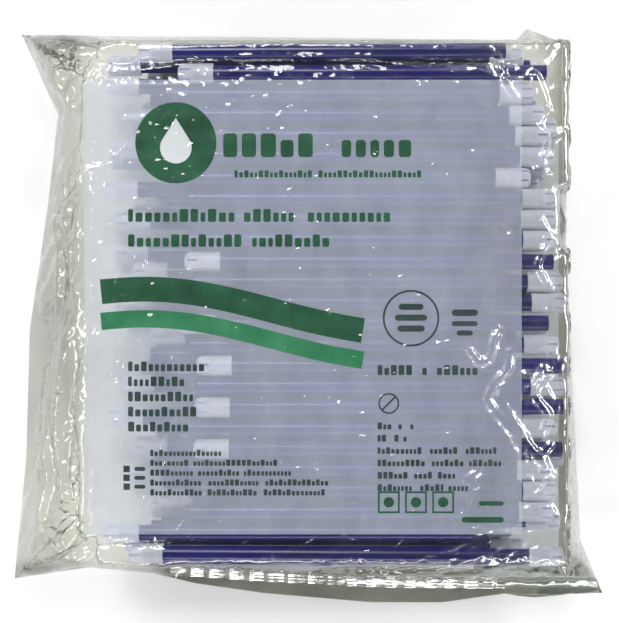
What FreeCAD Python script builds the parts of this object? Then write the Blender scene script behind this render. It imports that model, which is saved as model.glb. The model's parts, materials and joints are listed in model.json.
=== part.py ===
"""Sealed bag of one hundred disposable saliva ejectors, with a printed label under the film.

Every ejector is a wall-reinforced plastic tube, a wire that lies in the tube's wall, and a soft slotted tip that
is pushed over one end of the tube. They lie side by side along X in four layers, most with the tip at +X and the
rest turned round. The bag is two webs of clear film welded along the near and far edges. The label lies on top
of the ejectors, and a leaflet of the same size lies under them.

Frame: millimetres, +Z up, origin under the middle of the bag on the face that it rests on, X along the ejectors.
"""

import FreeCAD
import Part
import Sketcher

import os

# Driving dimensions: alias, value in millimetres (or as the text says), and what it is.
DIMENSIONS = [
    ("tube_d", 6.3, "outside diameter of an ejector's tube"),
    ("bore_d", 4.4, "diameter of the tube's bore"),
    ("overall_len", 150, "length of an ejector from its plain end to the end of its tip"),
    ("wire_d", 0.8, "diameter of the wire in the tube's wall"),
    ("wire_gap", 0.02, "radial clearance round the wire"),
    ("wire_rise", 2.3, "distance from the tube's axis to the wire's axis"),
    ("rib_d", 1.5, "diameter of the round rib that holds the wire in the wall"),
    ("wire_inset", 0.6, "how far each end of the wire stops inside the tube's end"),
    ("tip_d", 8.2, "outside diameter of the tip"),
    ("tip_fit", 0.05, "radial clearance between the tip's sleeve and the tube"),
    ("sleeve_len", 8, "length of the tip's sleeve over the tube"),
    ("nose_len", 6.5, "length of the tip beyond the tube"),
    ("nose_round", 2.6, "radius of the tip's outer end corner"),
    ("end_wall", 1.2, "thickness of the tip's end wall"),
    ("end_hole_d", 2.2, "diameter of the hole in the tip's end wall"),
    ("hollow_step", 0.4, "how far the tip's hollow is wider than the tube's bore, all round"),
    ("slot_w", 0.9, "width of a side slot in the tip"),
    ("slot_len", 4.2, "length of a side slot in the tip"),
    ("slot_from", 1.2, "distance from the tube's end to the start of a side slot"),
    ("slot_count", 6, "number of side slots in a tip"),
    ("layer_count", 4, "number of layers of ejectors"),
    ("row_count", 25, "number of ejectors in a layer"),
    ("row_pitch", 8.5, "distance between neighbours in a layer"),
    ("layer_rise", 7.3, "height of one layer above the last"),
    ("stack_mid_x", 10.3, "X of the middle of the stack"),
    ("stack_mid_y", 3, "Y of the middle of the stack"),
    ("stack_len", 189.6, "length of the room that the ejectors fill along X"),
    ("stack_floor", 0.8, "height of the lowest point of the lowest tips"),
    ("end_drift", 0.4, "how far an ejector's plain end strays sideways at most"),
    ("edge_drift", 1.6, "how far the plain end of an outermost ejector strays outwards"),
    ("tuck", 2, "how far the near edge of the layer below the top one is tucked in"),
    ("film_t", 0.3, "thickness of each web of film"),
    ("film_top", 31.6, "height of the top of the bag"),
    ("bag_half_x", 124.4, "half of the bag's length along X, corner to corner"),
    ("bag_half_y", 121.4, "half of the bag's width along Y, corner to corner"),
    ("weld_w", 5, "width of an end weld"),
    ("weld_t", 0.15, "height of an end weld above the upper web"),
    ("label_len", 177, "length of the label along X"),
    ("label_w", 184, "width of the label along Y"),
    ("label_t", 0.2, "thickness of the label"),
    ("label_mid_x", -2.2, "X of the middle of the label"),
    ("label_mid_y", 3.5, "Y of the middle of the label"),
    ("label_floor", 31.05, "height of the underside of the label"),
    ("leaflet_mid_x", 17.4, "X of the middle of the leaflet"),
    ("leaflet_mid_y", -13, "Y of the middle of the leaflet"),
    ("leaflet_floor", 0.4, "height of the underside of the leaflet"),
]

# The film's outer edge, anticlockwise from the near left corner: pairs of expressions in the aliases above.
FILM_EDGE = [
    ("-bag_half_x", "-111.2"),
    ("-92.6", "-106.6"),
    ("-65.9", "-109"),
    ("-47.7", "-113.4"),
    ("-18", "-117.6"),
    ("27", "-bag_half_y"),
    ("57", "-bag_half_y"),
    ("83.7", "-117.6"),
    ("94.7", "-118.4"),
    ("bag_half_x", "-117.4"),
    ("115", "-95"),
    ("111", "-15"),
    ("108", "28"),
    ("107.6", "96"),
    ("107.6", "115.5"),
    ("92.2", "bag_half_y"),
    ("88", "116.6"),
    ("-73", "118.2"),
    ("-121.4", "118.9"),
    ("-106", "85"),
    ("-110", "49"),
    ("-118", "-6"),
    ("-119.5", "-60"),
]
# Corners of the room inside the upper web, at its foot and at its top.
ROOM_FOOT = [("-103.5", "-104.8"), ("109", "-114"), ("106.3", "114.6"), ("-103.5", "114.6")]
ROOM_TOP = [("-91.4", "-102.9"), ("105.6", "-102.9"), ("105.6", "112"), ("-91.4", "112")]

# In each layer, from the lowest, the places where an ejector lies with its tip at -X. Place 0 is the nearest.
TURNED_PLACES = [
    (1, 4, 6, 9, 12, 15, 17, 20, 22, 24),
    (2, 5, 8, 10, 13, 16, 19, 21, 23),
    (1, 3, 7, 11, 12, 14, 18, 20, 23, 24),
    (0, 1, 5, 7, 9, 11, 14, 23, 24),
]
# Places in the top layer of the ejectors that can be pushed along by hand through the film.
LOOSE_PLACES = (0, 1, 2, 5, 7, 9, 11, 14, 18, 20, 23, 24)
# How far along its free room an ejector lies: 0 is hard against the -X end, 1 against the +X end. The others
# are scattered evenly.
SECOND_LAYER_SHARES = {0: 0.61}
THIRD_LAYER_SHARES = {0: 1.0, 1: 0.2, 2: 0.96, 24: 0.03}
TOP_LAYER_SHARES = dict(
    enumerate(
        (0.27, 0.03, 0.87, 0.91, 0.85, 0.95, 0.90, 0.96, 0.99, 0.98, 0.92, 0.81, 1.00,
         0.96, 0.86, 0.91, 0.89, 0.90, 0.63, 0.88, 0.83, 0.77, 0.67, 0.79, 0.37)
    )
)  # fmt: skip
SHARES = [{}, SECOND_LAYER_SHARES, THIRD_LAYER_SHARES, TOP_LAYER_SHARES]
GOLDEN = 0.618034  # step of the even scatter used where no share is given
PLASTIC = 0.754878  # step of the second, independent scatter


def make_sheet(doc):
    """The spreadsheet of driving dimensions, one row each: value with its alias, then its meaning."""
    sheet = doc.addObject("Spreadsheet::Sheet", "Dimensions")
    for row, (alias, value, meaning) in enumerate(DIMENSIONS, start=1):
        sheet.set(f"A{row}", str(value))
        sheet.setAlias(f"A{row}", alias)
        sheet.set(f"B{row}", meaning)
    doc.recompute()
    return sheet


def bound(expression):
    """The expression with each alias in it read from the sheet."""
    for alias in sorted((d[0] for d in DIMENSIONS), key=len, reverse=True):
        expression = expression.replace(alias, f"<<Dimensions>>.#{alias}")
    return expression.replace("#", "")


def new_body(doc, label):
    body = doc.addObject("PartDesign::Body", "Body")
    body.Label = label
    return body


def new_sketch(body, name, role, height=None):
    """An empty sketch on one of the body's own origin planes, raised by an expression."""
    plane = next(f for f in body.Origin.OriginFeatures if f.Role == role)
    sketch = body.newObject("Sketcher::SketchObject", name)
    sketch.AttachmentSupport = [(plane, "")]
    sketch.MapMode = "FlatFace"
    if height:
        sketch.setExpression("AttachmentOffset.Base.z", bound(height))
    return sketch


def bind(sketch, constraint, name, expression):
    index = sketch.addConstraint(constraint)
    sketch.renameConstraint(index, name)
    sketch.setExpression(f"Constraints.{name}", bound(expression))


def add_circle(sheet, sketch, name, diameter, rise=None):
    """A circle on the sketch's vertical axis, its size and place bound to the sheet."""
    y = sheet.evalExpression(rise) if rise else 0
    radius = sheet.evalExpression(diameter) / 2
    centre = FreeCAD.Vector(0, y, 0)
    circle = sketch.addGeometry(Part.Circle(centre, FreeCAD.Vector(0, 0, 1), radius))
    if rise:
        sketch.addConstraint(Sketcher.Constraint("PointOnObject", circle, 3, -2))
        bind(sketch, Sketcher.Constraint("DistanceY", -1, 1, circle, 3, y), f"{name}_rise", rise)
    else:
        sketch.addConstraint(Sketcher.Constraint("Coincident", circle, 3, -1, 1))
    bind(sketch, Sketcher.Constraint("Diameter", circle, 2 * radius), f"{name}_size", diameter)


def add_polygon(sheet, sketch, corners):
    """A closed polygon whose corners are bound to pairs of expressions, measured from the sketch's origin."""
    points = [(sheet.evalExpression(x), sheet.evalExpression(y)) for x, y in corners]
    count = len(points)
    first = None
    for i, (start, end) in enumerate(zip(points, points[1:] + points[:1])):
        edge = Part.LineSegment(FreeCAD.Vector(*start, 0), FreeCAD.Vector(*end, 0))
        index = sketch.addGeometry(edge)
        first = index if i == 0 else first
    for i in range(count):
        joined = Sketcher.Constraint("Coincident", first + i, 2, first + (i + 1) % count, 1)
        sketch.addConstraint(joined)
    for i, ((x, y), (x_rule, y_rule)) in enumerate(zip(points, corners)):
        line = first + i
        if abs(x) > 1e-9:
            bind(sketch, Sketcher.Constraint("DistanceX", -1, 1, line, 1, x), f"x{line}", x_rule)
        else:
            sketch.addConstraint(Sketcher.Constraint("PointOnObject", line, 1, -2))
        if abs(y) > 1e-9:
            bind(sketch, Sketcher.Constraint("DistanceY", -1, 1, line, 1, y), f"y{line}", y_rule)
        else:
            sketch.addConstraint(Sketcher.Constraint("PointOnObject", line, 1, -1))


def pad(body, name, sketch, length, reverse=False):
    feature = body.newObject("PartDesign::Pad", name)
    feature.Profile = sketch
    feature.Reversed = reverse
    feature.setExpression("Length", bound(length))
    return feature


def build_tube(doc, sheet):
    """The tube, from its tip end at the origin towards -X: a round wall with an inner rib bored for the wire."""
    body = new_body(doc, "ejector_tube_pattern")
    length = "overall_len - nose_len"
    wall = new_sketch(body, "WallSection", "YZ_Plane")
    add_circle(sheet, wall, "outside", "tube_d")
    add_circle(sheet, wall, "bore", "bore_d")
    pad(body, "Wall", wall, length, reverse=True)
    rib = new_sketch(body, "RibSection", "YZ_Plane")
    add_circle(sheet, rib, "rib", "rib_d", "wire_rise")
    pad(body, "Rib", rib, length, reverse=True)
    channel = new_sketch(body, "ChannelSection", "YZ_Plane")
    add_circle(sheet, channel, "channel", "wire_d + 2 * wire_gap", "wire_rise")
    doc.recompute()
    before = body.Shape.Volume
    cut = body.newObject("PartDesign::Pocket", "WireChannel")
    cut.Profile = channel
    cut.Type = "ThroughAll"
    cut.Reversed = False
    doc.recompute()
    check_cut(body, before)
    return body


def build_wire(doc, sheet):
    """The wire that keeps a bent ejector in shape, in the same frame as the tube."""
    body = new_body(doc, "ejector_wire_pattern")
    section = new_sketch(body, "WireSection", "YZ_Plane", "-wire_inset")
    add_circle(sheet, section, "wire", "wire_d", "wire_rise")
    pad(body, "Wire", section, "overall_len - nose_len - 2 * wire_inset", reverse=True)
    return body


def build_tip(doc, sheet):
    """The soft tip: a sleeve over the tube towards -X, and a hollow round nose towards +X with slots and a hole."""
    body = new_body(doc, "ejector_tip_pattern")
    profile = new_sketch(body, "TipProfile", "XY_Plane")
    outside, inside, bore, hole = "tip_d / 2", "tube_d / 2 + tip_fit", "bore_d / 2", "end_hole_d / 2"
    corners = [
        ("-sleeve_len", inside),
        ("-sleeve_len", outside),
        ("nose_len", outside),
        ("nose_len", hole),
        ("nose_len - end_wall", hole),
        ("nose_len - end_wall", f"{bore} + hollow_step"),
        ("hollow_step", f"{bore} + hollow_step"),
        ("0", bore),
        ("0", inside),
    ]
    add_polygon(sheet, profile, corners)
    turn = body.newObject("PartDesign::Revolution", "Turned")
    turn.Profile = profile
    turn.ReferenceAxis = (profile, ["H_Axis"])
    turn.Angle = 360
    doc.recompute()
    nose_x = sheet.nose_len
    round_edge(doc, body, "NoseRound", "nose_round", nose_x, sheet.tip_d / 2)
    round_edge(doc, body, "SleeveRound", "0.3", -sheet.sleeve_len, sheet.tip_d / 2)
    slot = new_sketch(body, "SlotOutline", "XY_Plane")
    half, start = "slot_w / 2", "slot_from"
    end = "(slot_from + slot_len)"
    add_polygon(sheet, slot, [(start, f"-{half}"), (end, f"-{half}"), (end, half), (start, half)])
    before = body.Shape.Volume
    cut = body.newObject("PartDesign::Pocket", "Slot")
    cut.Profile = slot
    cut.Type = "ThroughAll"
    cut.Reversed = True
    doc.recompute()
    check_cut(body, before)
    ring = body.newObject("PartDesign::PolarPattern", "Slots")
    ring.Originals = [cut]
    ring.Axis = (profile, ["H_Axis"])
    ring.Angle = 360
    ring.setExpression("Occurrences", bound("slot_count"))
    body.Tip = ring
    doc.recompute()
    return body


def round_edge(doc, body, name, radius, x, edge_radius):
    """Rounds the circular edge of that radius about the X axis that lies at that X."""
    found = [
        f"Edge{i}"
        for i, edge in enumerate(body.Shape.Edges, start=1)
        if isinstance(edge.Curve, Part.Circle)
        and abs(edge.Curve.Center.x - x) < 1e-4
        and abs(edge.Curve.Radius - edge_radius) < 1e-4
    ]
    base = body.Tip
    fillet = body.newObject("PartDesign::Fillet", name)
    fillet.Base = (base, found)
    fillet.setExpression("Radius", bound(radius))
    doc.recompute()


def check_cut(body, before):
    if not body.Shape.Volume < before:
        raise RuntimeError(f"a cut in {body.Label} removed nothing")


def ejector_seat(sheet, layer, place):
    """The placement of one ejector. Its own frame has its origin at the tube's end inside the tip, nose to +X."""
    number = layer * int(sheet.row_count) + place
    turned = place in TURNED_PLACES[layer]
    scatter = (number * GOLDEN) % 1
    share = SHARES[layer].get(place, scatter * scatter if turned else 0.45 + 0.55 * scatter)
    low_x = sheet.stack_mid_x - sheet.stack_len / 2 + share * (sheet.stack_len - sheet.overall_len)
    tube_end = low_x + (sheet.nose_len if turned else sheet.overall_len - sheet.nose_len)
    last = int(sheet.row_count) - 1
    offset = (0.25 if layer % 2 else -0.25) * sheet.row_pitch
    y = sheet.stack_mid_y + (place - last / 2) * sheet.row_pitch + offset
    z = sheet.stack_floor + sheet.tip_d / 2 + layer * sheet.layer_rise
    drift = sheet.end_drift * (2 * ((number * PLASTIC) % 1) - 1)
    if place in (0, last):
        drift = sheet.edge_drift * (1 if place else -1) * (0.4 + 0.6 * scatter)
    if layer == len(TURNED_PLACES) - 2 and place == 0:
        y += sheet.tuck
        drift = -sheet.edge_drift
    tube_len = sheet.overall_len - sheet.nose_len
    plain_end = FreeCAD.Vector(tube_len if turned else -tube_len, drift, 0)
    yaw = FreeCAD.Rotation(FreeCAD.Vector(-1, 0, 0), plain_end)
    roll = FreeCAD.Rotation(FreeCAD.Vector(1, 0, 0), 360 * ((number * PLASTIC * GOLDEN) % 1))
    return FreeCAD.Placement(FreeCAD.Vector(tube_end, y, z), yaw.multiply(roll))


def copies(doc, label, pattern, seats):
    """One sub-part made of copies of a pattern body, one at each seat."""
    links = []
    for seat in seats:
        link = doc.addObject("App::Link", "Copy")
        link.LinkedObject = pattern
        link.LinkPlacement = seat
        links.append(link)
    group = doc.addObject("Part::Compound", "Group")
    group.Links = links
    group.Label = label
    return group


def build_ejectors(doc, sheet):
    """All the ejectors: a tube, a wire and a tip each. The loose ones are sub-parts of their own."""
    patterns = {
        "tube": build_tube(doc, sheet),
        "wire": build_wire(doc, sheet),
        "tip": build_tip(doc, sheet),
    }
    parts = []
    for layer in range(int(sheet.layer_count)):
        top_layer = layer == int(sheet.layer_count) - 1
        loose = LOOSE_PLACES if top_layer else ()
        packed = [p for p in range(int(sheet.row_count)) if p not in loose]
        seats = [ejector_seat(sheet, layer, p) for p in packed]
        for piece, pattern in patterns.items():
            parts.append(copies(doc, f"layer_{layer + 1}_{piece}s", pattern, seats))
        for number, place in enumerate(loose, start=1):
            seat = ejector_seat(sheet, layer, place)
            for piece, pattern in patterns.items():
                parts.append(copies(doc, f"ejector_{number:02d}_{piece}", pattern, [seat]))
    return parts


def build_sheet_part(doc, sheet, label, mid_x, mid_y, floor):
    """A plain rectangle of paper: the label or the leaflet."""
    body = new_body(doc, label)
    outline = new_sketch(body, "Outline", "XY_Plane", floor)
    west, east = f"{mid_x} - label_len / 2", f"{mid_x} + label_len / 2"
    south, north = f"{mid_y} - label_w / 2", f"{mid_y} + label_w / 2"
    add_polygon(sheet, outline, [(west, south), (east, south), (east, north), (west, north)])
    pad(body, "Paper", outline, "label_t")
    return body


def build_lower_web(doc, sheet):
    """The flat web of film that the bag rests on."""
    body = new_body(doc, "bag_lower_web")
    edge = new_sketch(body, "FilmEdge", "XY_Plane")
    add_polygon(sheet, edge, FILM_EDGE)
    pad(body, "Film", edge, "film_t")
    return body


def grown(corners, by):
    """Corners moved outwards along both axes by an expression."""
    moved = []
    for x, y in corners:
        x_sign = "-" if x.startswith("-") else "+"
        y_sign = "-" if y.startswith("-") else "+"
        moved.append((f"{x} {x_sign} {by}", f"{y} {y_sign} {by}"))
    return moved


def add_loft(body, sheet, kind, name, foot, foot_height, top, top_height):
    lower = new_sketch(body, f"{name}Foot", "XY_Plane", foot_height)
    add_polygon(sheet, lower, foot)
    upper = new_sketch(body, f"{name}Top", "XY_Plane", top_height)
    add_polygon(sheet, upper, top)
    loft = body.newObject(kind, name)
    loft.Profile = lower
    loft.Sections = [upper]
    loft.Ruled = True


def build_upper_web(doc, sheet):
    """The web of film over the ejectors: a flat flange all round, sloping walls and a flat top, open below."""
    body = new_body(doc, "bag_upper_web")
    edge = new_sketch(body, "FilmEdge", "XY_Plane", "film_t")
    add_polygon(sheet, edge, FILM_EDGE)
    pad(body, "Flange", edge, "film_t")
    foot, top = grown(ROOM_FOOT, "film_t"), grown(ROOM_TOP, "film_t")
    add_loft(body, sheet, "PartDesign::AdditiveLoft", "Dome", foot, "film_t", top, "film_top")
    doc.recompute()
    before = body.Shape.Volume
    ceiling = "film_top - film_t"
    add_loft(body, sheet, "PartDesign::SubtractiveLoft", "Room", ROOM_FOOT, "film_t", ROOM_TOP, ceiling)
    doc.recompute()
    check_cut(body, before)
    return body


def build_weld(doc, sheet, label, side):
    """A raised weld along one edge of the bag, on top of the upper web's flange. side is -1 near, 1 far."""
    body = new_body(doc, label)
    strip = new_sketch(body, "Strip", "XY_Plane", "2 * film_t")
    if side < 0:
        outer = [("-60", "-109.8"), ("-46", "-111.6"), ("-18", "-114.3")]
        outer += [("27", "-116.6"), ("57", "-117.6"), ("83", "-116.9")]
        shares = [0.4, 0.7, 1, 1, 1, 0.6]
        corners = outer + [(x, f"{y} + {w} * weld_w") for (x, y), w in zip(outer[::-1], shares[::-1])]
    else:
        corners = [("-114", "116.2"), ("-114", "115.3"), ("104", "115.3"), ("104", "116.2")]
    add_polygon(sheet, strip, corners)
    pad(body, "Weld", strip, "weld_t")
    return body


def check_all(doc, parts):
    """Stops the build if an object failed or a sub-part's shape can't be used."""
    failed = [o.Label for o in doc.Objects if "Invalid" in o.State or "Error" in o.State]
    if failed:
        raise RuntimeError(f"failed objects: {failed}")
    for part in parts:
        if part.Shape.isNull() or not part.Shape.isValid() or not part.Shape.Solids:
            raise RuntimeError(f"{part.Label} has no valid solid")


def main():
    doc = FreeCAD.newDocument("saliva_ejector_bag")
    sheet = make_sheet(doc)
    parts = [
        build_lower_web(doc, sheet),
        build_upper_web(doc, sheet),
        build_weld(doc, sheet, "bag_near_weld", -1),
        build_weld(doc, sheet, "bag_far_weld", 1),
        build_sheet_part(doc, sheet, "label_sheet", "label_mid_x", "label_mid_y", "label_floor"),
        build_sheet_part(doc, sheet, "leaflet", "leaflet_mid_x", "leaflet_mid_y", "leaflet_floor"),
    ]
    parts += build_ejectors(doc, sheet)
    doc.recompute()
    check_all(doc, parts)
    os.makedirs("parts", exist_ok=True)
    for part in parts:
        part.Shape.exportStep(f"parts/{part.Label}.step")
        print(part.Label, len(part.Shape.Solids), round(part.Shape.Volume, 1))


main()
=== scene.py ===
"""Looks of a sealed bag of saliva ejectors: crumpled clear film, a printed label, and the ejectors inside."""

import json
import math

import bmesh
import bpy
import numpy as np
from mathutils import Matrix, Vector
from mathutils.bvhtree import BVHTree


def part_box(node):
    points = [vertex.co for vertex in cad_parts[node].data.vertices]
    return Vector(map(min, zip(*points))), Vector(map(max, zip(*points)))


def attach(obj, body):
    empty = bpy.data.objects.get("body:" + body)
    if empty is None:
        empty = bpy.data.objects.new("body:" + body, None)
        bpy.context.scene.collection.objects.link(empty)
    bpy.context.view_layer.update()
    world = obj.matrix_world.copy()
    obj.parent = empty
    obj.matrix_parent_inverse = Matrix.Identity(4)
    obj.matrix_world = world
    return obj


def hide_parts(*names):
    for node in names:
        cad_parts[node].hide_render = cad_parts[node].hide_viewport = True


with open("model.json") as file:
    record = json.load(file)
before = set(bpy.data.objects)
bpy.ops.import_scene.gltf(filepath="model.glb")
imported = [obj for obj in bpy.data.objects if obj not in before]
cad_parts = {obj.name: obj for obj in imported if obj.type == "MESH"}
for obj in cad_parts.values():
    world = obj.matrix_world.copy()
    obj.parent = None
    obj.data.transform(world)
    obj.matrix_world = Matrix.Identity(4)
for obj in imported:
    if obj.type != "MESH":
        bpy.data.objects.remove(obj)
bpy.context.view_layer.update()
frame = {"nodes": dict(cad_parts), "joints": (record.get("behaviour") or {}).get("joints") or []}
NODES = frame["nodes"]
MM = 0.001
LABEL_LOW, LABEL_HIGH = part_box("label_sheet")
LEAFLET_LOW, LEAFLET_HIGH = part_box("leaflet")

# The film's outer edge on the floor, in millimetres, from the near left corner round by the right.
NEAR_EDGE = [(-124.4, -111.2), (-92.6, -106.6), (-65.9, -109), (-47.7, -113.4), (-18, -117.6), (27, -121.4),
             (57, -121.4), (83.7, -117.6), (94.7, -118.4), (124.4, -117.4)]  # fmt: skip
RIGHT_EDGE = [(124.4, -117.4), (115, -95), (111, -15), (108, 28), (107.6, 96), (107.6, 115.5)]
FAR_EDGE = [(-121.4, 118.9), (-73, 118.2), (88, 116.6), (92.2, 121.4), (107.6, 115.5)]
LEFT_EDGE = [(-124.4, -111.2), (-119.5, -60), (-118, -6), (-110, 49), (-106, 85), (-121.4, 118.9)]
WEB_X, WEB_Y = 0.274, 0.288  # the upper web's flat size before it went over the contents
GRID = 131  # points along each side of the simulated web
SIM_SCALE = 10  # the web is simulated this many times too large, where the solver is steady
SIM_FRAMES = 30
START_HEIGHT = 36.5  # how far the web stands above the floor before it falls, in millimetres
HIGHEST = 36  # no part of the film is above this, in millimetres
ROOM_MARGIN = 1.3  # how far the film stays from the sides of the loose ejectors' room
ROW_PITCH = 8.5  # from one ejector to the next
LEAFLET_SLANT = 0.045  # how far the leaflet's right end lies nearer than its left, as a share of its length
STRIPE_FROM = 0.07  # the leaflet's green stripe is to the right of this, in metres
CAMERA_HEIGHT = 0.7
SENSOR = 36  # millimetres, like the lens
IMAGE_ROWS = 623
ROW_ON_FLOOR = 0.0004238  # how much of the floor one row of the image shows, in metres


# ---------------------------------------------------------------- small tools


def new_mesh(name, points, faces, body="bag"):
    """A smooth-shaded mesh object from points in metres. It rides on a body, unless that is None."""
    mesh = bpy.data.meshes.new(name)
    mesh.from_pydata([tuple(p) for p in points], [], [tuple(f) for f in faces])
    mesh.polygons.foreach_set("use_smooth", [True] * len(mesh.polygons))
    mesh.update()
    piece = bpy.data.objects.new(name, mesh)
    bpy.context.scene.collection.objects.link(piece)
    if body:
        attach(piece, body)
    return piece


def grid_faces(nx, ny):
    """The four-sided faces between the points of a grid, row by row."""
    index = np.arange(nx * ny).reshape(nx, ny)
    return np.stack([index[:-1, :-1], index[1:, :-1], index[1:, 1:], index[:-1, 1:]], -1).reshape(-1, 4)


def lengths_along(p):
    """How far along a chain each of its points lies."""
    return np.r_[0, np.cumsum(np.hypot(*np.diff(p, axis=0).T))]


def left_of(line):
    """The direction to the left of a line at each of its points."""
    ahead = np.gradient(line, axis=0)
    return np.c_[-ahead[:, 1], ahead[:, 0]] / np.linalg.norm(ahead, axis=1)[:, None]


def even_points(corners, count):
    """That many points evenly spaced along a chain of corners."""
    p = np.array(corners, float)
    along = lengths_along(p)
    t = np.linspace(0, along[-1], count)
    return np.c_[np.interp(t, along, p[:, 0]), np.interp(t, along, p[:, 1])]


def hashed(ix, iy, seed):
    """A repeatable number from 0 to 1 for each whole-number pair."""
    h = np.sin(ix * 127.1 + iy * 311.7 + seed * 74.7) * 43758.5453
    return h - np.floor(h)


def smooth_noise(x, y, seed):
    """Value noise, about -1 to 1, one feature per unit."""
    ix, iy = np.floor(x), np.floor(y)
    fx, fy = x - ix, y - iy
    fx, fy = fx * fx * (3 - 2 * fx), fy * fy * (3 - 2 * fy)
    a, b = hashed(ix, iy, seed), hashed(ix + 1, iy, seed)
    c, d = hashed(ix, iy + 1, seed), hashed(ix + 1, iy + 1, seed)
    return 2 * ((a * (1 - fx) + b * fx) * (1 - fy) + (c * (1 - fx) + d * fx) * fy) - 1


def facets(x, y, seed):
    """The height of a crumpled surface: nearly flat facets that meet in sharp edges, about one per unit."""
    ix, iy = np.floor(x), np.floor(y)
    height = np.full(x.shape, -9.0)
    for dx in (-1, 0, 1):
        for dy in (-1, 0, 1):
            cx, cy = ix + dx, iy + dy
            px = cx + hashed(cx, cy, seed)
            py = cy + hashed(cx, cy, seed + 1)
            tilt_x = 2 * hashed(cx, cy, seed + 2) - 1
            tilt_y = 2 * hashed(cx, cy, seed + 3) - 1
            away = np.hypot(x - px, y - py)
            slope = tilt_x * (x - px) + tilt_y * (y - py)
            plane = 0.7 * slope - 0.35 * away**2 + 0.3 * hashed(cx, cy, seed + 4)
            height = np.maximum(height, plane)
    return height


def turned(x, y, degrees, stretch=1.0):
    """x and y in axes turned by an angle, with the first one stretched."""
    c = math.cos(math.radians(degrees))
    s = math.sin(math.radians(degrees))
    return (x * c + y * s) / stretch, y * c - x * s


def crease(x, y, chain, height, width):
    """A ridge with straight sides along a chain of points. It sinks to nothing at both ends."""
    total = np.zeros(x.shape)
    p = np.array(chain, float)
    along = lengths_along(p)
    for i in range(len(p) - 1):
        a, d = p[i], p[i + 1] - p[i]
        length = math.hypot(*d)
        t = np.clip(((x - a[0]) * d[0] + (y - a[1]) * d[1]) / length**2, 0, 1)
        off = np.hypot(x - a[0] - t * d[0], y - a[1] - t * d[1])
        share = (along[i] + t * length) / along[-1]
        taper = np.clip(np.minimum(share, 1 - share) * 6, 0, 1)
        ridge = np.clip(1 - off / width, 0, 1)
        total = np.maximum(total, height * taper * ridge)
    return total


def weight(x, low, high):
    """0 below low, 1 above high, smooth between."""
    t = np.clip((x - low) / (high - low), 0, 1)
    return t * t * (3 - 2 * t)


# ---------------------------------------------------------------- materials


def new_material(name):
    """A material with an empty node tree, and that tree."""
    material = bpy.data.materials.new(name)
    material.use_nodes = True
    material.node_tree.nodes.clear()
    return material, material.node_tree


def node(tree, kind, **values):
    """A shader node. Its inputs are given by name, with _ for a space, or in at_ form by number."""
    made = tree.nodes.new(kind)
    for key, value in values.items():
        if key.startswith("at_"):
            socket = made.inputs[int(key[3:])]
        elif key.replace("_", " ") in made.inputs:
            socket = made.inputs[key.replace("_", " ")]
        else:
            setattr(made, key, value)
            continue
        if isinstance(value, bpy.types.NodeSocket):
            tree.links.new(value, socket)
        else:
            socket.default_value = value
    return made


def ramp(tree, factor, stops):
    """A colour that follows a factor through stops, each a place from 0 to 1 and a colour."""
    made = node(tree, "ShaderNodeValToRGB", at_0=factor)
    points = made.color_ramp.elements
    while len(points) < len(stops):
        points.new(0.5)
    for point, (place, color) in zip(points, stops):
        point.position = place
        point.color = (*color, 1)
    return made.outputs[0]


def position(tree, scale=(1, 1, 1)):
    """The point being shaded in the object's own frame, scaled."""
    coordinates = node(tree, "ShaderNodeTexCoord")
    mapping = node(tree, "ShaderNodeMapping", Vector=coordinates.outputs["Object"], Scale=scale)
    return mapping.outputs[0]


def noise(tree, scale, stretch=(1, 1, 1), detail=3, rough=0.55):
    """Noise with about that many features in a metre. A stretch below 1 draws it out along that axis."""
    place = position(tree, stretch)
    made = node(tree, "ShaderNodeTexNoise", Vector=place, Scale=scale, Detail=detail, Roughness=rough)
    return made.outputs[0]


def bump(tree, height, distance, strength, under=None):
    """A normal that follows a height of so many metres, on top of another normal if one is given."""
    made = node(tree, "ShaderNodeBump", Height=height, Distance=distance, Strength=strength)
    if under:
        tree.links.new(under, made.inputs["Normal"])
    return made.outputs[0]


def close(tree, shader):
    """Makes a shader the material's surface."""
    out = tree.nodes.new("ShaderNodeOutputMaterial")
    tree.links.new(shader, out.inputs[0])


def map_range(tree, value, from_low, from_high, low, high):
    """A value between two limits carried over to two others, and held there outside them."""
    made = node(tree, "ShaderNodeMapRange", at_0=value, at_1=from_low, at_2=from_high, at_3=low, at_4=high)
    return made.outputs[0]


def power(tree, value, exponent):
    return node(tree, "ShaderNodeMath", operation="POWER", at_0=value, at_1=exponent).outputs[0]


def share_plus(tree, value, share, more):
    """A value times a share, plus more."""
    return node(tree, "ShaderNodeMath", operation="MULTIPLY_ADD", at_0=value, at_1=share, at_2=more).outputs[0]


def mix_shaders(tree, share, first, second):
    """The first shader, with that share of the second."""
    return node(tree, "ShaderNodeMixShader", at_0=share, at_1=first, at_2=second).outputs[0]


# Where the film lies double or is sealed, and so looks deeper, and where its tint is darkened as painted shade
# of the bag: axis, from where to where in metres, how much.
DOUBLED_AND_SHADED = [("Y", -0.102, -0.109, 0.72), ("X", 0.096, 0.1065, 0.72),
           ("X", -0.086, -0.098, 0.40), ("Y", 0.108, 0.115, 0.3)]  # fmt: skip
WARM = (0.96, 0.96, 0.925)  # the tint that film takes on where it is a little deeper
# The film's two reflections: roughness, share seen straight on, and how much more is seen edge-on.
GLOSSES = [(0.28, 0.014, 0.45), (0.08, 0.066, 0.5)]


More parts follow.
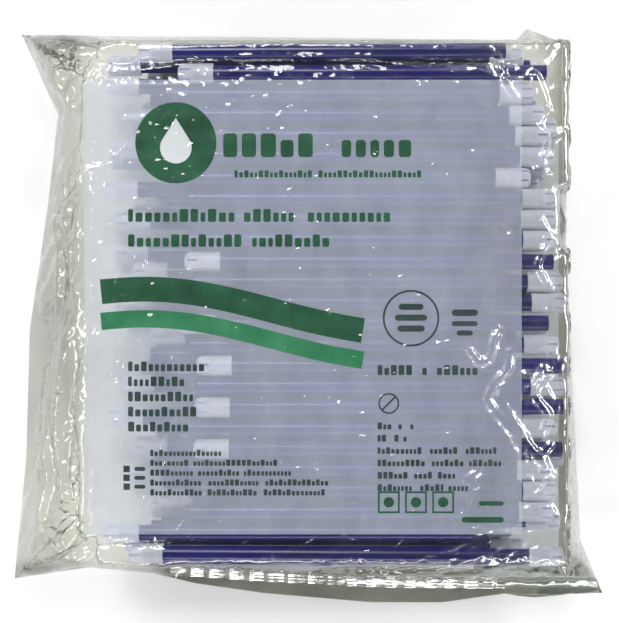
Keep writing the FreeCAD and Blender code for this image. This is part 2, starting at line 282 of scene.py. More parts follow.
def film_material(name, tint, deep, haze, gloss, wrinkled):
    """Clear film: see-through, deeper where it is seen edge-on and where it lies double, with painted shade
    deepening its tint at the near flap, the right side and the left and far edges, a trace of milky haze, a
    soft and a sharp reflection, and more gloss on the right, where it is wrinkled."""
    material, tree = new_material(name)
    fine = noise(tree, 900, (1, 1, 1), 4)
    crinkle = noise(tree, 200, (1, 0.5, 1), 5, 0.6)
    normal = bump(tree, fine, 0.00001, 0.5, bump(tree, crinkle, 0.00004, 0.6))
    facing = node(tree, "ShaderNodeLayerWeight", Blend=0.5).outputs["Facing"]
    tilt = node(tree, "ShaderNodeLayerWeight", Blend=0.5, Normal=normal).outputs["Facing"]
    place = node(tree, "ShaderNodeSeparateXYZ", Vector=position(tree)).outputs
    # painted shade: the tint is deepened at the near flap, the right side and the left and far edges, on top of
    # where the film lies double
    deeper = [map_range(tree, place[axis], start, end, 0, most) for axis, start, end, most in DOUBLED_AND_SHADED]
    blotches = map_range(tree, noise(tree, 24, (1, 0.6, 1), 3), 0.3, 0.7, -0.12, 0.12)
    depth_and_shade = power(tree, facing, 1.7)
    for more in (*deeper, blotches):
        depth_and_shade = node(tree, "ShaderNodeMath", operation="ADD", use_clamp=True, at_0=depth_and_shade, at_1=more).outputs[0]
    warm = tuple(part * share for part, share in zip(tint, WARM))
    shade = ramp(tree, depth_and_shade, [(0.0, tint), (0.3, warm), (0.9, deep)])
    see_through = node(tree, "ShaderNodeBsdfTransparent", Color=shade)
    milky = node(tree, "ShaderNodeBsdfPrincipled", Base_Color=(0.9, 0.9, 0.86, 1), Roughness=0.5, Normal=normal)
    cloud = map_range(tree, noise(tree, 60, (1, 1, 1), 3), 0.35, 0.75, haze * 0.5, haze * 1.5)
    surface = mix_shaders(tree, cloud, see_through.outputs[0], milky.outputs[0])
    for rough, base, growth in GLOSSES:
        gleam = node(tree, "ShaderNodeBsdfPrincipled", Base_Color=(0.96, 0.96, 0.95, 1), Metallic=1.0,
                     Roughness=rough, Normal=normal)  # fmt: skip
        most = map_range(tree, place["Y"], -0.103, -0.094, base * gloss, base * gloss + wrinkled)
        least = map_range(tree, place["X"], 0.052, 0.078, base * gloss, most)
        share = node(tree, "ShaderNodeMath", operation="MULTIPLY_ADD", use_clamp=True,
                     at_0=power(tree, tilt, 2.6), at_1=growth * gloss, at_2=least)  # fmt: skip
        surface = mix_shaders(tree, share.outputs[0], surface, gleam.outputs[0])
    close(tree, surface)
    return material


def tube_material():
    """Dark blue PVC: deep colour painted lighter towards its edges as seen, a painted sheen, with a soft gloss
    and faint draw lines.
    """
    material, tree = new_material("tube_pvc")
    streak = noise(tree, 420, (0.02, 1, 1), 3)
    cloud = noise(tree, 45, (0.4, 1, 1), 2)
    facing = node(tree, "ShaderNodeLayerWeight", Blend=0.35)
    # painted sheen: the blue is made lighter where the tube is seen edge-on, plus random cloudy tone
    light = share_plus(tree, facing.outputs["Facing"], 0.55, map_range(tree, cloud, 0.3, 0.7, 0.0, 0.25))
    blues = [(0.0, (0.002, 0.002, 0.065)), (0.5, (0.009, 0.010, 0.20)), (1.0, (0.045, 0.06, 0.50))]
    color = ramp(tree, light, blues)
    normal = bump(tree, streak, 0.00008, 0.5)
    rough = map_range(tree, streak, 0.3, 0.7, 0.2, 0.34)
    skin = node(tree, "ShaderNodeBsdfPrincipled", Base_Color=color, Roughness=rough, Normal=normal, IOR=1.53,
                Coat_Weight=0.15, Coat_Roughness=0.12)  # fmt: skip
    close(tree, skin.outputs[0])
    return material


def tip_material():
    """Soft frosted white vinyl, partly see-through, so that the tube shows inside the sleeve."""
    material, tree = new_material("tip_vinyl")
    grain = noise(tree, 1600, (1, 1, 1), 4)
    cloud = noise(tree, 160, (1, 1, 1), 2)
    normal = bump(tree, grain, 0.00005, 0.6)
    color = ramp(tree, cloud, [(0.3, (0.80, 0.83, 0.93)), (0.7, (0.92, 0.93, 0.99))])
    rough = map_range(tree, grain, 0.3, 0.7, 0.28, 0.42)
    skin = node(tree, "ShaderNodeBsdfPrincipled", Base_Color=color, Roughness=rough, Normal=normal, IOR=1.5,
                Subsurface_Weight=0.25, Subsurface_Radius=(0.002, 0.002, 0.003),
                Subsurface_Scale=1.0)  # fmt: skip
    see_through = node(tree, "ShaderNodeBsdfTransparent", Color=(0.93, 0.94, 1, 1))
    facing = node(tree, "ShaderNodeLayerWeight", Blend=0.3, Normal=normal)
    share = map_range(tree, facing.outputs["Facing"], 0, 1, 0.40, 0.9)
    close(tree, mix_shaders(tree, share, see_through.outputs[0], skin.outputs[0]))
    return material


def wire_material():
    """Brass-coated steel wire with fine drawn lines."""
    material, tree = new_material("wire_brass")
    streak = noise(tree, 3000, (0.02, 1, 1), 2)
    color = ramp(tree, streak, [(0.3, (0.42, 0.30, 0.14)), (0.7, (0.66, 0.50, 0.26))])
    skin = node(tree, "ShaderNodeBsdfPrincipled", Base_Color=color, Metallic=1.0, Roughness=0.32,
                Normal=bump(tree, streak, 0.00003, 0.5))  # fmt: skip
    close(tree, skin.outputs[0])
    return material


def paper_material(name, light, dark, clear):
    """Thin matt sheet with a faint fibre grain, through which a share of what lies under it shows."""
    material, tree = new_material(name)
    fibre = noise(tree, 700, (1, 0.12, 1), 4, 0.65)
    mottle = noise(tree, 90, (1, 0.5, 1), 3)
    both = share_plus(tree, fibre, 0.45, map_range(tree, mottle, 0.25, 0.75, 0.1, 0.4))
    color = ramp(tree, both, [(0.15, dark), (0.75, light)])
    normal = bump(tree, fibre, 0.00006, 0.6)
    skin = node(tree, "ShaderNodeBsdfPrincipled", Base_Color=color, Roughness=0.55, Normal=normal, IOR=1.4)
    see_through = node(tree, "ShaderNodeBsdfTransparent", Color=(0.98, 0.96, 0.92, 1))
    share = map_range(tree, mottle, 0.3, 0.7, 1 - clear * 1.05, 1 - clear * 0.95)
    close(tree, mix_shaders(tree, share, see_through.outputs[0], skin.outputs[0]))
    return material


def ink_material(name, deep, pale):
    """Printed ink, slightly uneven over the sheet's grain."""
    material, tree = new_material(name)
    grain = noise(tree, 900, (1, 0.2, 1), 4, 0.7)
    cloud = noise(tree, 60, (1, 1, 1), 2)
    both = share_plus(tree, grain, 0.5, map_range(tree, cloud, 0.3, 0.7, 0.0, 0.5))
    color = ramp(tree, both, [(0.2, deep), (0.9, pale)])
    skin = node(tree, "ShaderNodeBsdfPrincipled", Base_Color=color, Roughness=0.5, IOR=1.4,
                Normal=bump(tree, grain, 0.00004, 0.5))  # fmt: skip
    close(tree, skin.outputs[0])
    return material


def floor_material():
    """A matt white surface, very slightly uneven in tone."""
    material, tree = new_material("floor_white")
    grain = noise(tree, 40, (1, 1, 1), 2)
    color = ramp(tree, grain, [(0.3, (0.93, 0.93, 0.93)), (0.7, (0.95, 0.95, 0.95))])
    skin = node(tree, "ShaderNodeBsdfPrincipled", Base_Color=color, Roughness=0.7, IOR=1.3)
    close(tree, skin.outputs[0])
    return material


MATERIALS = {
    "film": film_material("film_clear", (0.95, 0.955, 0.95), (0.40, 0.43, 0.40),
                          haze=0.01, gloss=1.0, wrinkled=0.08),
    "film_low": film_material("film_clear_lower", (0.86, 0.86, 0.82), (0.42, 0.44, 0.39),
                              haze=0.02, gloss=0.8, wrinkled=0.0),
    # The seal's strong milky haze is partly the whitened film of a real seal and partly a painted highlight,
    # the white band of light along it.
    "weld": film_material("film_weld", (0.82, 0.83, 0.79), (0.5, 0.51, 0.47),
                          haze=0.26, gloss=3.0, wrinkled=0.0),
    "tube": tube_material(),
    "tip": tip_material(),
    "wire": wire_material(),
    "label": paper_material("label_paper", (0.72, 0.78, 0.90), (0.62, 0.69, 0.84), clear=0.60),
    "leaflet": paper_material("leaflet_paper", (0.85, 0.86, 0.86), (0.78, 0.79, 0.8), clear=0.06),
    "green": ink_material("ink_green", (0.002, 0.055, 0.022), (0.008, 0.12, 0.055)),
    "mint": ink_material("ink_mint", (0.012, 0.16, 0.06), (0.04, 0.27, 0.13)),
    "grey": ink_material("ink_grey", (0.012, 0.035, 0.03), (0.04, 0.075, 0.07)),
    "pale": ink_material("ink_pale", (0.62, 0.66, 0.68), (0.72, 0.75, 0.77)),
}  # fmt: skip


def dress_cad_nodes():
    """Gives each CAD node that still shows its own procedural material."""
    for name, cad in NODES.items():
        for kind in ("tube", "wire", "tip"):
            if kind in name:
                cad.data.materials.clear()
                cad.data.materials.append(MATERIALS[kind])


# ---------------------------------------------------------------- what the film lies on


def contents_height(x, y, margin=0.0):
    """How high the contents reach at each point of two arrays, all in millimetres, found by rays from above.
    The room that a sliding ejector passes through counts as full, with a margin at its sides and ends."""
    points, faces = [], []
    for name, cad in NODES.items():
        if name.startswith("bag_") or "wire" in name:
            continue
        base = len(points)
        points += [v.co.copy() for v in cad.data.vertices]
        faces += [[base + i for i in p.vertices] for p in cad.data.polygons]
    tree = BVHTree.FromPolygons(points, faces)
    height = np.zeros(x.shape)
    for at in np.ndindex(x.shape):
        hit = tree.ray_cast(Vector((x[at] * MM, y[at] * MM, 0.05)), Vector((0, 0, -1)))
        if hit[0]:
            height[at] = hit[0].z / MM
    for joint in frame["joints"]:
        low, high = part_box(joint["child"] + "_tip")
        tube_low, tube_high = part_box(joint["child"] + "_tube")
        west = min(low.x, tube_low.x) / MM + joint["range_m"][0] / MM
        east = max(high.x, tube_high.x) / MM + joint["range_m"][1] / MM
        middle, radius = (low.y + high.y) / 2 / MM, (high.z - low.z) / 2 / MM
        sideways = np.clip(abs(y - middle) - margin, 0, radius)
        swept = np.where(sideways < radius, high.z / MM - radius + np.sqrt(radius**2 - sideways**2), 0)
        height = np.where((x > west - margin) & (x < east + margin), np.maximum(height, swept), height)
    return height


# ---------------------------------------------------------------- the upper web of film


def web_outline():
    """The web's outline and an even spread of points inside it, as a grid of x and y in millimetres."""
    near, far = even_points(NEAR_EDGE, GRID)[:, None], even_points(FAR_EDGE, GRID)[:, None]
    left, right = even_points(LEFT_EDGE, GRID)[None], even_points(RIGHT_EDGE, GRID)[None]
    u = np.linspace(0, 1, GRID)[:, None, None]
    v = np.linspace(0, 1, GRID)[None, :, None]
    corners = ((1 - u) * (1 - v) * near[0] + u * (1 - v) * near[-1]
               + (1 - u) * v * far[0] + u * v * far[-1])  # fmt: skip
    return (1 - v) * near + v * far + (1 - u) * left + u * right - corners


def contents_for_cloth(big):
    """What the web falls on: a height map of the contents, whose steps between ejectors' ends are bridged."""
    spread = np.arange(-130, 130.01, 2.0)
    gx, gy = np.meshgrid(spread, spread, indexing="ij")
    height = contents_height(gx, gy)
    grown = np.maximum.reduce([np.roll(height, step, axis=1) for step in range(-5, 6)])
    closed = np.minimum.reduce([np.roll(grown, step, axis=1) for step in range(-5, 6)])
    height = np.where(gx > 84, closed, height)
    solid = np.dstack([gx, gy, height])
    count = len(spread)
    base = new_mesh("contents_trial", solid.reshape(-1, 3) * big, grid_faces(count, count), body=None)
    base.modifiers.new("collide", "COLLISION")
    base.collision.thickness_outer = 0.004
    base.collision.thickness_inner = 0.05
    base.collision.cloth_friction = 3
    return base


def make_cloth(web, flat):
    """Gives the web the ways of thin stiff film, with a flat shape that it was cut to."""
    cloth = web.modifiers.new("film", "CLOTH")
    cloth.settings.quality = 8
    cloth.settings.mass = 0.05
    cloth.settings.air_damping = 2
    cloth.settings.tension_stiffness = cloth.settings.compression_stiffness = 40
    cloth.settings.shear_stiffness = 20
    cloth.settings.bending_stiffness = 0.03
    cloth.settings.tension_damping = cloth.settings.compression_damping = cloth.settings.shear_damping = 10
    cloth.settings.bending_damping = 0.5
    cloth.settings.vertex_group_mass = "rim"
    cloth.settings.rest_shape_key = flat
    cloth.collision_settings.distance_min = 0.004
    cloth.collision_settings.collision_quality = 3
    cloth.point_cache.frame_start, cloth.point_cache.frame_end = 1, SIM_FRAMES


def drape_web():
    """Lets a flat web of film fall over the contents, held at its rim: a grid of points in millimetres."""
    plan = web_outline()
    big = SIM_SCALE * MM
    u = np.linspace(0, 1, GRID)[:, None] * np.ones((1, GRID))
    v = u.T
    inside = np.minimum(np.minimum(u, 1 - u) * 220, np.minimum(v, 1 - v) * 236)
    start = np.dstack([plan, 1 + START_HEIGHT * (1 - np.exp(-inside / 9))])
    start[1:-1, 1:-1] += np.random.default_rng(7).normal(0, 0.25, start[1:-1, 1:-1].shape)
    web = new_mesh("web_trial", start.reshape(-1, 3) * big, grid_faces(GRID, GRID), body=None)
    web.shape_key_add(name="start")
    flat = web.shape_key_add(name="flat")
    flat_points = np.dstack([(u - 0.5) * WEB_X * SIM_SCALE, (v - 0.5) * WEB_Y * SIM_SCALE, 0 * u])
    flat.data.foreach_set("co", flat_points.reshape(-1).astype(np.float32))
    rim = np.ones((GRID, GRID), bool)
    rim[1:-1, 1:-1] = False
    pins = web.vertex_groups.new(name="rim")
    pins.add(np.flatnonzero(rim).tolist(), 1.0, "REPLACE")
    base = contents_for_cloth(big)
    make_cloth(web, flat)
    for number in range(1, SIM_FRAMES + 1):
        bpy.context.scene.frame_set(number)
    draped = web.evaluated_get(bpy.context.evaluated_depsgraph_get()).data
    points = np.empty(GRID * GRID * 3, np.float32)
    draped.vertices.foreach_get("co", points)
    bpy.context.scene.frame_set(1)
    for trial in (web, base):
        bpy.data.objects.remove(trial)
    return points.reshape(GRID, GRID, 3) / big


def refine(grid):
    """Twice as many points each way, with cubic midpoints, so that folds stay round."""
    for axis in (0, 1):
        g = np.moveaxis(grid, axis, 0)
        padded = np.concatenate([2 * g[:1] - g[1:2], g, 2 * g[-1:] - g[-2:-1]])
        middle = (-padded[:-3] + 9 * padded[1:-2] + 9 * padded[2:-1] - padded[3:]) / 16
        out = np.empty((2 * len(g) - 1, *g.shape[1:]))
        out[::2], out[1::2] = g, middle
        grid = np.moveaxis(out, 0, axis)
    return grid


def normals_of(grid):
    """The unit normal at each point of a grid."""
    across, along = np.gradient(grid, axis=0), np.gradient(grid, axis=1)
    n = np.cross(across, along)
    return n / np.maximum(np.linalg.norm(n, axis=2, keepdims=True), 1e-9)


# The near seal: points along its outer edge, its width, and how much higher its inner edge lies.
NEAR_SEAL = [(-60, -109.8), (-18, -112.8), (27, -115), (57, -115.6), (83, -115.4)]
SEAL_WIDTH, SEAL_RISE = 4.6, 2.6
FLAP_FROM = -103.5  # on the near side of this line the film closes down to the seal

# Creases in the film that catch the light: points in millimetres, then height and half width.
CREASES = [
    ([(-77, 98), (-32, 104), (25, 104.5), (45, 100), (70, 97)], 1.3, 2.4),
    ([(-60, 108), (-10, 110), (40, 109)], 0.8, 2.0),
    ([(75, 108), (80, 93), (86, 85)], 1.6, 2.6),
    ([(64, 102), (76, 96), (92, 92)], 1.0, 2.0),
    ([(90, 100), (95, 88), (101, 78)], 1.3, 2.2),
    ([(88, 80), (97, 72), (94, 60), (101, 52)], 1.1, 2.0),
    ([(90, 44), (98, 32), (92, 20), (101, 6)], 1.1, 2.0),
    ([(103, 64), (104, 40), (102, 16)], 0.9, 1.6),
    ([(80, -4), (75, -9), (73, -18), (69, -19), (62, -10)], 1.5, 2.6),
    ([(86, -11), (81, -15), (81, -21), (75, -28), (72, -34), (79, -43), (85, -51), (88, -63)], 1.7, 2.9),
    ([(92, -68), (95, -61), (89, -52), (83, -42), (78, -35)], 1.6, 2.8),
    ([(88, -63), (91, -70), (96, -66)], 1.3, 2.4),
    ([(98, -8), (103, -30), (102, -46), (104, -66)], 1.4, 2.4),
    ([(84, -22), (94, -27), (100, -36)], 1.3, 2.4),
    ([(96, -18), (91, -32), (97, -40), (93, -52)], 1.5, 2.6),
    ([(102, -22), (96, -24), (88, -30), (86, -38)], 1.3, 2.4),
    ([(100, -50), (94, -56), (99, -66)], 1.4, 2.5),
    ([(72, -57), (68, -63), (64, -66), (69, -69)], 1.2, 2.3),
    ([(60, -10), (52, -12), (44, -11)], 0.9, 1.8),
    ([(96, -76), (103, -84), (100, -96)], 1.2, 2.0),
    ([(50, -80), (72, -88), (94, -86)], 0.9, 2.0),
    ([(46, -109), (58, -118), (73, -108)], 1.5, 2.6),
    ([(58, -118), (59, -121)], 1.2, 2.2),
    ([(94, -117), (102, -110), (111, -103)], 0.7, 2.2),
    ([(-60, -104), (-20, -106), (20, -107.5), (62, -107)], 1.2, 2.4),
    ([(-96, 96), (-104, 60), (-100, 24), (-106, -14)], 1.8, 2.6),
    ([(-112, 20), (-108, -24), (-112, -70)], 1.6, 2.4),
    ([(-94, 70), (-98, 40), (-94, 6)], 1.3, 2.2),
    ([(-98, -10), (-102, -50), (-97, -92)], 1.8, 2.6),
    ([(-104, 44), (-97, 52), (-90, 58), (-78, 62), (-72, 72)], 1.2, 2.0),
    ([(-104, -20), (-110, -44), (-106, -66), (-112, -92)], 1.6, 2.4),
    ([(-120, 118), (-104, 104), (-92, 102)], 1.6, 2.4),
    ([(-92, 102), (-82, 108), (-72, 112)], 1.2, 2.2),
    ([(-92, 102), (-86, 92), (-88, 84)], 1.0, 2.0),
    ([(-118, 112), (-100, 92), (-90, 78)], 1.4, 2.2),
    ([(-122, -110), (-106, -98), (-92, -84)], 1.7, 2.4),
    ([(-90, -96), (-70, -101), (-46, -103)], 1.1, 2.2),
    ([(-92, -20), (-76, -26), (-66, -24)], 0.7, 1.6),
    ([(104, -100), (114, -108), (123, -116)], 0.6, 2.0),
    ([(96, 100), (103, 108), (100, 118)], 1.4, 2.2),
]


def panels(x, y, cell, degrees, seed, stretch=1.0):
    """Crumple with facets of about that many millimetres, turned and drawn out one way."""
    return facets(*turned(x / cell, y / cell, degrees, stretch), seed)


def crumple(grid):
    """Adds the creases and facets that a mesh of 2 mm cells can't hold, more where the film is slack."""
    x, y = grid[..., 0], grid[..., 1]
    over_label = weight(x, -90, -85) * weight(-x, -90, -78) * weight(y, -92, -82) * weight(-y, -98, -88)
    slack = 1 - 0.93 * over_label
    left, right = weight(-x, 84, 96), weight(x, 60, 100)
    held_near = 0.6 * weight(-y, 98, 106) * (1 - weight(x, 84, 94))
    calm = 1 - held_near - 0.75 * weight(y, 90, 101) * (1 - left)
    broad = panels(x, y, 17, 20, 3) * (0.9 + 1.6 * left)
    tall = panels(x, y, 10, 84, 11, 3.4) * (0.3 + 3.2 * left)
    fine = panels(x, y, 6, -35, 23, 1.8) * (0.25 + 0.45 * right)
    ripple = smooth_noise(x / 9, y / 9, 5) * 0.25
    lift = (broad + tall + fine + ripple) * slack * calm
    lift += (panels(x, y, 22, 65, 41, 1.5) * 0.3 + 0.15) * over_label
    for chain, height, width in CREASES:
        lift += crease(x, y, chain, height, width)
    return grid + normals_of(grid) * (lift - np.median(lift) * 0.8)[..., None]


def flap_limit(x, y):
    """How high the upper web may be near the seal: low beyond it, rising across it, steep inside it."""
    edge = np.interp(x, [p[0] for p in NEAR_SEAL], [p[1] for p in NEAR_SEAL])
    inward = y - edge
    across = np.clip(inward / SEAL_WIDTH, 0, 1)
    limit = 0.9 + SEAL_RISE * across + np.clip(inward - SEAL_WIDTH, 0, None) * 5
    return limit + weight(-x, 52, 78) * 12 + weight(x, 78, 96) * 1.5


def film_top():
    """The upper web: draped, refined, crumpled, closed down to the seal, and kept off what lies under it."""
    grid = refine(drape_web())
    plan = refine(web_outline())
    rough = crumple(grid)
    size = rough.shape[0]
    steps = np.r_[: size // 2 + 1, size // 2 - 1 : -1 : -1]
    from_rim = np.minimum.reduce(np.meshgrid(steps, steps, indexing="ij"))[..., None]
    grip = weight(from_rim, 0, 9)
    rough = grid * (1 - grip) + rough * grip
    rough[..., :2] = np.where(from_rim == 0, plan, rough[..., :2])
    unrest = 0.15 * smooth_noise(plan[..., 0] / 11, plan[..., 1] / 5, 53)
    flap = np.minimum(rough[..., 2], flap_limit(rough[..., 0], rough[..., 1]) + unrest)
    rough[..., 2] = np.where(rough[..., 1] < FLAP_FROM, flap, rough[..., 2])
    floor = contents_height(rough[..., 0], rough[..., 1], ROOM_MARGIN)
    rough[..., 2] = np.maximum(rough[..., 2], np.where(floor > 0.5, floor + 0.15, 0.55))
    rough[..., 2] = np.minimum(rough[..., 2], HIGHEST)
    film = new_mesh("film_upper", rough.reshape(-1, 3) * MM, grid_faces(size, size))
    film.data.materials.append(MATERIALS["film"])
    film.visible_shadow = False  # clear film leaves what lies under it in full light
    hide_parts("bag_upper_web")


def film_bottom():
    """The lower web: flat on the floor, with the slight ripples of film that was pulled flat by hand."""
    plan = refine(web_outline())[::2, ::2]
    x, y = plan[..., 0], plan[..., 1]
    outside = weight(np.maximum(abs(x), abs(y)), 60, 110)
    z = 0.12 + 0.1 * (1 + smooth_noise(x / 14, y / 14, 17)) * outside
    film = new_mesh("film_lower", np.dstack([plan, z]).reshape(-1, 3) * MM, grid_faces(*x.shape))
    film.data.materials.append(MATERIALS["film_low"])
    film.visible_shadow = False
    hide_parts("bag_lower_web")


def weld_band(name, chain, width, rise, replaced, rows=9):
    """A heat seal: a ribbed, crimped band on the left of a chain of points, higher at its inner edge."""
    steps = 320
    line = even_points(chain, steps)
    across = np.linspace(0, width, rows)
    plan = line[:, None] + left_of(line)[:, None] * across[None, :, None]
    along = np.linspace(0, 1, steps)[:, None]
    crimp = 0.12 * np.sin(2 * math.pi * across / 1.5)[None] + 0.42 * np.sin(2 * math.pi * along * 17)
    wave = 0.5 * smooth_noise(plan[..., 0] / 9, plan[..., 1] / 9, 29)
    z = 1.1 + rise * across[None] / width + crimp + wave
    weld = new_mesh(name, np.dstack([plan, z]).reshape(-1, 3) * MM, grid_faces(steps, rows))
    weld.data.materials.append(MATERIALS["weld"])
    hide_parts(replaced)


# ---------------------------------------------------------------- the label and what is printed on it


def label_z(x, y):
    """Height of the label in millimetres: nearly flat, with the tubes' rows showing as faint waves."""
    rows = 0.10 * (1 + np.sin(2 * math.pi * (y - 1.0) / ROW_PITCH))
    loose = 0.35 * (1 + smooth_noise(x / 46, y / 60, 61)) + 0.12 * (1 + smooth_noise(x / 17, y / 13, 67))
    return LABEL_LOW.z / MM + 0.12 + rows + 0.6 * loose


def build_label():
    """The printed sheet that lies on the ejectors."""
    step = 1.5
    xs = np.linspace(LABEL_LOW.x / MM, LABEL_HIGH.x / MM, int((LABEL_HIGH.x - LABEL_LOW.x) / MM / step / 2))
    ys = np.linspace(LABEL_LOW.y / MM, LABEL_HIGH.y / MM, int((LABEL_HIGH.y - LABEL_LOW.y) / MM / step))
    x, y = np.meshgrid(xs, ys, indexing="ij")
    label = new_mesh("label", np.dstack([x, y, label_z(x, y)]).reshape(-1, 3) * MM, grid_faces(*x.shape))
    label.data.materials.append(MATERIALS["label"])
    label.visible_shadow = False  # the sheet scatters light down, so what lies under it isn't in its shadow
    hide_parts("label_sheet")


def ring(cx, cy, radius, count=72, start=0.0, sweep=360.0):
    """Points round a circle, or round an arc from a start angle through a sweep in degrees."""
    angles = np.radians(start + np.linspace(0, sweep, count, endpoint=sweep < 360))
    return [(cx + radius * math.cos(a), cy + radius * math.sin(a)) for a in angles]


def bar(x0, x1, y, height):
    """A rounded bar that stands for a line of print."""
    r = height / 2
    right_end = ring(x1 - r, y, r, count=9, start=-90, sweep=180)
    return right_end + ring(x0 + r, y, r, count=9, start=90, sweep=180)


def band(points, width):
    """The outline of a stripe of constant width along a smooth line through points."""
    p = np.array(points, float)
    t = np.arange(len(p))
    fine = np.linspace(0, len(p) - 1, 60)
    line = np.c_[np.interp(fine, t, p[:, 0]), np.interp(fine, t, p[:, 1])]
    for _ in range(40):
        line[1:-1] = (line[:-2] + 2 * line[1:-1] + line[2:]) / 4
    side = left_of(line) * width / 2
    return [tuple(q) for q in line + side] + [tuple(q) for q in (line - side)[::-1]]


def frame_of(outer, inner):
    """The strip between two closed outlines with the same number of points, as a list of small outlines."""
    n = len(outer)
    return [[outer[i], outer[(i + 1) % n], inner[(i + 1) % n], inner[i]] for i in range(n)]


def square(x, y, half):
    """A square about a point, from half of its side."""
    return [(x - half, y - half), (x + half, y - half), (x + half, y + half), (x - half, y + half)]


def print_piece(name, outlines, ink, lift=0.06):
    """Ink laid on the label: flat outlines in millimetres, cut finely and laid on the label's waves."""
    cut = bmesh.new()
    for outline in outlines:
        cut.faces.new([cut.verts.new((px, py, 0)) for px, py in outline])
    bmesh.ops.triangulate(cut, faces=cut.faces[:])
    spread = np.array([v.co for v in cut.verts])
    for axis, step in ((1, 1.7), (0, 6.0)):
        for at in np.arange(spread[:, axis].min() + step, spread[:, axis].max(), step):
            place, way = [0, 0, 0], [0, 0, 0]
            place[axis], way[axis] = at, 1
            geometry = cut.verts[:] + cut.edges[:] + cut.faces[:]
            bmesh.ops.bisect_plane(cut, geom=geometry, plane_co=place, plane_no=way)
    for v in cut.verts:
        v.co.z = float(label_z(np.array(v.co.x), np.array(v.co.y))) + lift
        v.co *= MM
    for f in cut.faces:
        if f.normal.z < 0:
            f.normal_flip()
    mesh = bpy.data.meshes.new(name)
    cut.to_mesh(mesh)
    cut.free()
    piece = bpy.data.objects.new(name, mesh)
    bpy.context.scene.collection.objects.link(piece)
    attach(piece, "bag")
    mesh.materials.append(MATERIALS[ink])


def words(x0, x1, y, height, gaps=()):
    """A line of print as small blocks with cut corners, in words with gaps at shares of its length."""
    blocks = []
    ends = [0, *gaps, 1]
    for i, (a, b) in enumerate(zip(ends, ends[1:])):
        x = x0 + (x1 - x0) * a + (height * 0.75 if i else 0)
        end = x0 + (x1 - x0) * b
        while x + height * 0.4 <= end + 0.01:
            k = float(hashed(x, y, 0))
            wide = min(height * (0.36 + 0.3 * k), end - x)
            tall = height * (1.0 if k > 0.66 or x < x0 + height * 0.4 else 0.72)
            low, cut = y - height / 2, height * 0.09
            blocks.append([(x + cut, low), (x + wide - cut, low), (x + wide, low + cut),
                           (x + wide, low + tall - cut), (x + wide - cut, low + tall), (x + cut, low + tall),
                           (x, low + tall - cut), (x, low + cut)])  # fmt: skip
            x += wide + height * 0.2
    return blocks


def paragraph(x0, ends, y, pitch, height, gaps):
    """Lines of words one under another, each with its own end and its own gaps."""
    blocks = []
    for i, (x1, own_gaps) in enumerate(zip(ends, gaps)):
        blocks += words(x0, x1, y - i * pitch, height, own_gaps)
    return blocks


def build_print():
    """Generic print that spells nothing: a disc with a drop, blocks for words, two waves and outlines."""
    print_piece("print_emblem", [ring(-53.7, 70, 16.4)], "green")
    drop = [(-53.7, 80)] + ring(-53.7, 68, 6.4, count=22, start=35, sweep=-250)
    print_piece("print_emblem_drop", [drop], "pale", 0.1)
    title = words(-34.5, 47, 69, 9.6, (0.5,)) + words(-30, 46, 57.4, 2.8, (0.42,))
    print_piece("print_title", title, "green")
    headline = words(-73, 34.5, 40.6, 5.2, (0.4, 0.64)) + words(-73, 10, 30.4, 5.0, (0.56,))
    print_piece("print_headline", headline, "green")
    for name, low, thick, ink in (("print_wave", 2, 10, "green"), ("print_wave_pale", -10, 7, "mint")):
        crest = [(x, low + 9 * math.cos((x + 66) / 33)) for x in np.linspace(-84, 22, 24)]
        print_piece(name, [band(crest, thick)], ink)
    print_piece("print_list", paragraph(-73, (-42, -50, -46, -44, -47), -20.5, 6.1, 3.9, [()] * 5), "grey")
    address_gaps = [(0.3, 0.62)[:i] for i in range(5)]
    print_piece("print_address", paragraph(-64, (-34, -12, -6, 8, 7), -55.5, 4.0, 2.5, address_gaps), "grey")
    maker_mark = [square(-73.6, -62 - k * 3.6, 1.3) for k in range(3)]
    maker_mark += [bar(-70.5, -66, -62 - k * 3.6, 1.6) for k in range(3)]
    print_piece("print_maker_mark", maker_mark, "grey")
    count = frame_of(ring(41.5, -1, 11.4), ring(41.5, -1, 10.7))
    count += [bar(36.5, 46.5, 3.6, 2.4), bar(35, 48, -0.8, 2.4), bar(36, 47, -5.2, 2.4)]
    print_piece("print_count_ring", count, "grey", 0.12)
    small_mark = [bar(58, 68.5, 1.2, 2.6), bar(58, 68.5, -3.2, 2.0), bar(60, 66.5, -7, 2.0)]
    print_piece("print_small_mark", small_mark, "grey")
    print_piece("print_origin", words(28, 70, -22, 4.0, (0.36, 0.5)), "grey")
    icon = frame_of(ring(32.5, -35.5, 4.2), ring(32.5, -35.5, 3.6))
    print_piece("print_round_icon", icon + [band([(29.8, -38.2), (35.2, -32.8)], 0.7)], "grey")
    notes = paragraph(28, (44, 40, 76, 78, 60, 66), -44.6, 5.0, 2.7, [(0.4, 0.7)] * 6)
    print_piece("print_notes", notes, "grey")
    icons = []
    for k in range(3):
        icons += frame_of(square(32.5 + k * 11, -75.5, 4.4), square(32.5 + k * 11, -75.5, 3.7))
        icons += [ring(32.5 + k * 11, -75.5, 2.1, count=24)]
    print_piece("print_icons", icons, "green")
    print_piece("print_codes", [bar(69, 79, -76, 1.8), bar(62, 79, -82.6, 2.3)], "green")


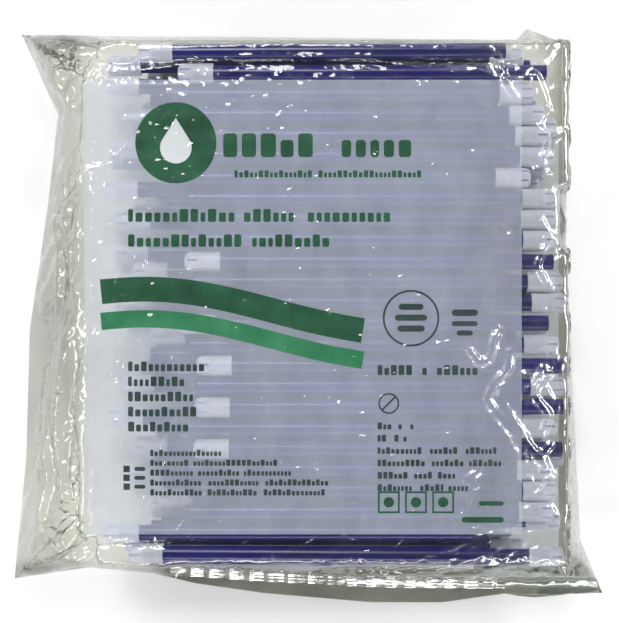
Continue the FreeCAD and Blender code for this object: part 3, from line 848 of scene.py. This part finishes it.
def build_leaflet():
    """The sheet under the ejectors, slightly askew, so that the green stripe on its near edge shows."""
    xs = np.linspace(LEAFLET_LOW.x / MM, LEAFLET_HIGH.x / MM, 60)
    ys = np.linspace(LEAFLET_LOW.y / MM, LEAFLET_HIGH.y / MM, 60)
    x, y = np.meshgrid(xs, ys, indexing="ij")
    z = LEAFLET_LOW.z / MM + 0.08 + 0.06 * smooth_noise(x / 25, y / 25, 83)
    askew = y - LEAFLET_SLANT * (x - (xs[0] + xs[-1]) / 2)
    sheet = new_mesh("leaflet_sheet", np.dstack([x, askew, z]).reshape(-1, 3) * MM, grid_faces(*x.shape))
    sheet.data.materials.append(MATERIALS["leaflet"])
    sheet.data.materials.append(MATERIALS["green"])
    for face in sheet.data.polygons:
        near_rows = face.index % (len(ys) - 1) < 2
        if near_rows and face.center.x > STRIPE_FROM:
            face.material_index = 1
    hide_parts("leaflet")


# ---------------------------------------------------------------- studio


def area_light(name, place, size, power, tall=None):
    """A soft light that faces the middle of the floor, square unless it has a height of its own."""
    light = bpy.data.lights.new(name, "AREA")
    light.energy = power
    light.shape = "RECTANGLE" if tall else "SQUARE"
    light.size = size
    if tall:
        light.size_y = tall
    lamp = bpy.data.objects.new(name, light)
    bpy.context.scene.collection.objects.link(lamp)
    lamp.location = place
    lamp.rotation_mode = "QUATERNION"
    lamp.rotation_quaternion = (-Vector(place)).to_track_quat("-Z", "Y")


def build_lights():
    area_light("key_far", (-0.15, 0.75, 0.85), 0.4, 5.6)
    area_light("key_right", (0.85, 0.2, 0.55), 0.6, 3.8, tall=0.12)
    area_light("strip_near", (0.1, -0.9, 0.35), 0.9, 3.0, tall=0.1)
    area_light("fill_left", (-0.85, -0.15, 0.55), 0.25, 1.7)
    for x, y in ((0.6, 0.6), (-0.6, 0.6), (-0.6, -0.6), (0.6, -0.6)):
        area_light("glint", (x, y, 0.55), 0.15, 0.85)


def build_sky():
    """A dim grey sky with a brighter ring part of the way up, for the film's creases to reflect."""
    world = bpy.data.worlds.new("studio")
    world.use_nodes = True
    tree = world.node_tree
    direction = node(tree, "ShaderNodeTexCoord")
    parts = node(tree, "ShaderNodeSeparateXYZ", Vector=direction.outputs["Generated"])
    stops = [(0.42, 0.2), (0.47, 1.0), (0.6, 1.0), (0.66, 0.2), (0.95, 0.07)]
    sky = ramp(tree, parts.outputs["Z"], [(height, (glow, glow, glow)) for height, glow in stops])
    tree.links.new(sky, tree.nodes["Background"].inputs["Color"])
    bpy.context.scene.world = world
    bpy.context.scene.view_settings.view_transform = "Standard"


def build_camera():
    """Straight above, a little off the middle, as the photograph was taken."""
    camera = bpy.data.objects.new("camera", bpy.data.cameras.new("camera"))
    bpy.context.scene.collection.objects.link(camera)
    camera.location = (0.0004, 0.0017, CAMERA_HEIGHT)
    camera.data.sensor_width = SENSOR
    camera.data.lens = SENSOR * CAMERA_HEIGHT / (IMAGE_ROWS * ROW_ON_FLOOR)
    camera.data.clip_end = 10
    bpy.context.scene.camera = camera


def build_studio():
    """A pale floor, soft lights, the sky and the camera."""
    corners = [(-3, -3, 0), (3, -3, 0), (3, 3, 0), (-3, 3, 0)]
    floor = new_mesh("studio_floor", corners, [(0, 1, 2, 3)], body=None)
    floor.data.materials.append(floor_material())
    build_lights()
    build_sky()
    build_camera()


def main():
    dress_cad_nodes()
    film_top()
    film_bottom()
    weld_band("weld_near", NEAR_SEAL, SEAL_WIDTH, SEAL_RISE, "bag_near_weld")
    weld_band("weld_far", [(-114, 115.3), (104, 115.3)], 0.9, 0, "bag_far_weld", rows=4)
    build_label()
    build_print()
    build_leaflet()
    build_studio()


main()
